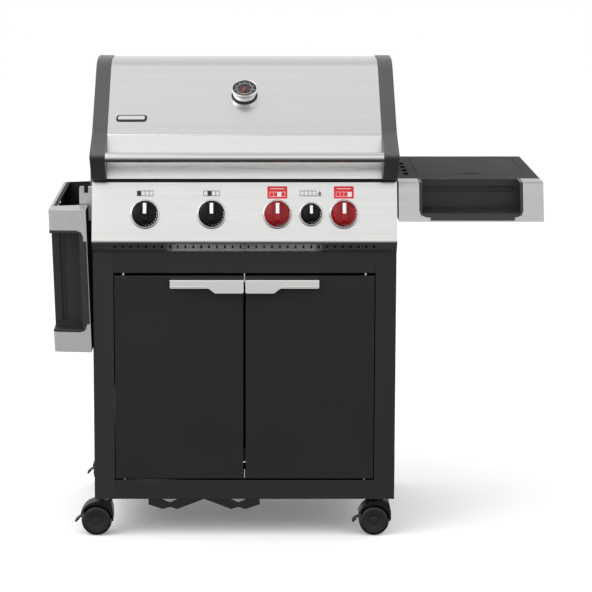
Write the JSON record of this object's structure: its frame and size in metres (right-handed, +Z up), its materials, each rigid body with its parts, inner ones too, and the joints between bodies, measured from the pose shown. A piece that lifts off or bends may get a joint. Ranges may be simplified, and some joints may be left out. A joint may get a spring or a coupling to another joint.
{
  "type": "gas barbecue grill",
  "caption": "Gas barbecue grill on a two-door cabinet cart with casters, hinged steel lid, control knobs, a fold-down side table and a side-burner table.",
  "frame": {"origin": "middle of the bounding box in plan, on the floor under the casters", "axes": "+X to the right of a user who stands in front of the grill, +Y away from the user, +Z up"},
  "size_m": [1.193, 0.597, 1.153],
  "materials": {
    "cart_paint": "fine satin powder coat",
    "brushed_steel": "brushed along X",
    "cast_grey": "satin paint on cast aluminium",
    "table_paint": "satin powder coat",
    "black_plastic": "fine grained",
    "red_knob": "semi gloss",
    "black_enamel": "gloss enamel",
    "cast_iron": "matt enamelled",
    "zinc": "zinc plated",
    "wheel": "smooth black"
  },
  "bodies": {
    "cart": {"side_frame_left": "cart_paint", "side_frame_right": "cart_paint", "front_top_rail": "cart_paint", "front_bottom_rail": "cart_paint", "base_panel": "cart_paint", "back_panel": "cart_paint", "bottle_cradle": "cart_paint", "firebox": "cast_grey", "control_panel": "brushed_steel", "gas_manifold": "zinc", "main_burner_1": "brushed_steel", "main_burner_2": "brushed_steel", "main_burner_3": "brushed_steel", "main_burner_4": "brushed_steel", "cooking_grate_left": "cast_iron", "cooking_grate_right": "cast_iron", "warming_rack": "zinc", "right_table_top": "table_paint", "right_table_rim": "brushed_steel", "right_table_insert": "black_plastic", "side_burner": "black_enamel", "side_burner_grate": "cast_iron", "table_bracket_front": "zinc", "table_bracket_rear": "zinc"},
    "lid": {"lid_skin": "brushed_steel", "lid_cap_left": "cast_grey", "lid_cap_right": "cast_grey", "lid_handle": "brushed_steel", "thermometer": "brushed_steel"},
    "left_door": {"door_left": "cart_paint", "door_handle_left": "brushed_steel"},
    "right_door": {"door_right": "cart_paint", "door_handle_right": "brushed_steel"},
    "left_table": {"left_table_top": "table_paint", "left_table_rim": "brushed_steel", "left_table_insert": "black_plastic"},
    "burner_cover": {"side_burner_cover": "table_paint"},
    "grease_drawer": {"grease_tray": "zinc"},
    "stem_burner_1": {"valve_stem_burner_1": "zinc"},
    "knob_burner_1": {"knob_burner_1": "black_plastic"},
    "stem_burner_2": {"valve_stem_burner_2": "zinc"},
    "knob_burner_2": {"knob_burner_2": "black_plastic"},
    "stem_burner_3": {"valve_stem_burner_3": "zinc"},
    "knob_burner_3": {"knob_burner_3": "red_knob"},
    "stem_side_burner": {"valve_stem_side_burner": "zinc"},
    "knob_side_burner": {"knob_side_burner": "black_plastic"},
    "stem_burner_4": {"valve_stem_burner_4": "zinc"},
    "knob_burner_4": {"knob_burner_4": "red_knob"},
    "swivel_front_left": {"caster_housing_front_left": "black_plastic"},
    "wheel_front_left": {"caster_wheel_front_left": "wheel"},
    "brake_front_left": {"caster_brake_front_left": "black_plastic"},
    "swivel_front_right": {"caster_housing_front_right": "black_plastic"},
    "wheel_front_right": {"caster_wheel_front_right": "wheel"},
    "brake_front_right": {"caster_brake_front_right": "black_plastic"},
    "swivel_rear_left": {"caster_housing_rear_left": "black_plastic"},
    "wheel_rear_left": {"caster_wheel_rear_left": "wheel"},
    "brake_rear_left": {"caster_brake_rear_left": "black_plastic"},
    "swivel_rear_right": {"caster_housing_rear_right": "black_plastic"},
    "wheel_rear_right": {"caster_wheel_rear_right": "wheel"},
    "brake_rear_right": {"caster_brake_rear_right": "black_plastic"}
  },
  "joints": [
    {"name": "lid_hinge", "type": "hinge", "parent": "cart", "child": "lid", "pos_m": [-0.12299, 0.2695, 0.896], "axis": [-1, 0, 0], "range_deg": [0, 85]},
    {"name": "left_door_hinge", "type": "hinge", "parent": "cart", "child": "left_door", "pos_m": [-0.41599, -0.2125, 0.397], "axis": [0, 0, -1], "range_deg": [0, 105]},
    {"name": "right_door_hinge", "type": "hinge", "parent": "cart", "child": "right_door", "pos_m": [0.17001, -0.2125, 0.397], "axis": [0, 0, 1], "range_deg": [0, 105]},
    {"name": "left_table_fold", "type": "hinge", "parent": "cart", "child": "left_table", "pos_m": [-0.51399, 0.0795, 0.793], "axis": [0, 1, 0], "range_deg": [0, 91.9]},
    {"name": "burner_cover_hinge", "type": "hinge", "parent": "cart", "child": "burner_cover", "pos_m": [0.43601, 0.2591, 0.875], "axis": [-1, 0, 0], "range_deg": [0, 95]},
    {"name": "grease_tray_slide", "type": "slide", "parent": "cart", "child": "grease_drawer", "axis": [0, 1, 0], "range_m": [0, 0.3]},
    {"name": "push_burner_1", "type": "slide", "parent": "cart", "child": "stem_burner_1", "axis": [0, 0.962, -0.2729], "range_m": [0, 0.004], "stiffness_N_per_m": 3000},
    {"name": "turn_burner_1", "type": "hinge", "parent": "stem_burner_1", "child": "knob_burner_1", "pos_m": [-0.36199, -0.22406, 0.8], "axis": [0, -0.962, 0.2729], "range_deg": [0, 180]},
    {"name": "push_burner_2", "type": "slide", "parent": "cart", "child": "stem_burner_2", "axis": [0, 0.962, -0.2729], "range_m": [0, 0.004], "stiffness_N_per_m": 3000},
    {"name": "turn_burner_2", "type": "hinge", "parent": "stem_burner_2", "child": "knob_burner_2", "pos_m": [-0.20199, -0.22406, 0.8], "axis": [0, -0.962, 0.2729], "range_deg": [0, 180]},
    {"name": "push_burner_3", "type": "slide", "parent": "cart", "child": "stem_burner_3", "axis": [0, 0.962, -0.2729], "range_m": [0, 0.004], "stiffness_N_per_m": 3000},
    {"name": "turn_burner_3", "type": "hinge", "parent": "stem_burner_3", "child": "knob_burner_3", "pos_m": [-0.04399, -0.22406, 0.8], "axis": [0, -0.962, 0.2729], "range_deg": [0, 180]},
    {"name": "push_side_burner", "type": "slide", "parent": "cart", "child": "stem_side_burner", "axis": [0, 0.962, -0.2729], "range_m": [0, 0.004], "stiffness_N_per_m": 3000},
    {"name": "turn_side_burner", "type": "hinge", "parent": "stem_side_burner", "child": "knob_side_burner", "pos_m": [0.03701, -0.22406, 0.8], "axis": [0, -0.962, 0.2729], "range_deg": [0, 180]},
    {"name": "push_burner_4", "type": "slide", "parent": "cart", "child": "stem_burner_4", "axis": [0, 0.962, -0.2729], "range_m": [0, 0.004], "stiffness_N_per_m": 3000},
    {"name": "turn_burner_4", "type": "hinge", "parent": "stem_burner_4", "child": "knob_burner_4", "pos_m": [0.11601, -0.22406, 0.8], "axis": [0, -0.962, 0.2729], "range_deg": [0, 180]},
    {"name": "swivel_front_left", "type": "hinge", "parent": "cart", "child": "swivel_front_left", "pos_m": [-0.46399, -0.1945, 0.06], "axis": [0, 0, 1], "continuous": true},
    {"name": "roll_front_left", "type": "hinge", "parent": "swivel_front_left", "child": "wheel_front_left", "pos_m": [-0.48649, -0.1945, 0.0375], "axis": [0, 1, 0], "continuous": true},
    {"name": "lock_front_left", "type": "hinge", "parent": "swivel_front_left", "child": "brake_front_left", "pos_m": [-0.51949, -0.1945, 0.0475], "axis": [0, -1, 0], "range_deg": [0, 18]},
    {"name": "swivel_front_right", "type": "hinge", "parent": "cart", "child": "swivel_front_right", "pos_m": [0.21801, -0.1945, 0.06], "axis": [0, 0, 1], "continuous": true},
    {"name": "roll_front_right", "type": "hinge", "parent": "swivel_front_right", "child": "wheel_front_right", "pos_m": [0.19551, -0.1945, 0.0375], "axis": [0, 1, 0], "continuous": true},
    {"name": "lock_front_right", "type": "hinge", "parent": "swivel_front_right", "child": "brake_front_right", "pos_m": [0.16251, -0.1945, 0.0475], "axis": [0, -1, 0], "range_deg": [0, 18]},
    {"name": "swivel_rear_left", "type": "hinge", "parent": "cart", "child": "swivel_rear_left", "pos_m": [-0.46399, 0.2675, 0.06], "axis": [0, 0, 1], "continuous": true},
    {"name": "roll_rear_left", "type": "hinge", "parent": "swivel_rear_left", "child": "wheel_rear_left", "pos_m": [-0.48649, 0.2675, 0.0375], "axis": [0, 1, 0], "continuous": true},
    {"name": "lock_rear_left", "type": "hinge", "parent": "swivel_rear_left", "child": "brake_rear_left", "pos_m": [-0.51949, 0.2675, 0.0475], "axis": [0, -1, 0], "range_deg": [0, 18]},
    {"name": "swivel_rear_right", "type": "hinge", "parent": "cart", "child": "swivel_rear_right", "pos_m": [0.21801, 0.2675, 0.06], "axis": [0, 0, 1], "continuous": true},
    {"name": "roll_rear_right", "type": "hinge", "parent": "swivel_rear_right", "child": "wheel_rear_right", "pos_m": [0.19551, 0.2675, 0.0375], "axis": [0, 1, 0], "continuous": true},
    {"name": "lock_rear_right", "type": "hinge", "parent": "swivel_rear_right", "child": "brake_rear_right", "pos_m": [0.16251, 0.2675, 0.0475], "axis": [0, -1, 0], "range_deg": [0, 18]}
  ]
}
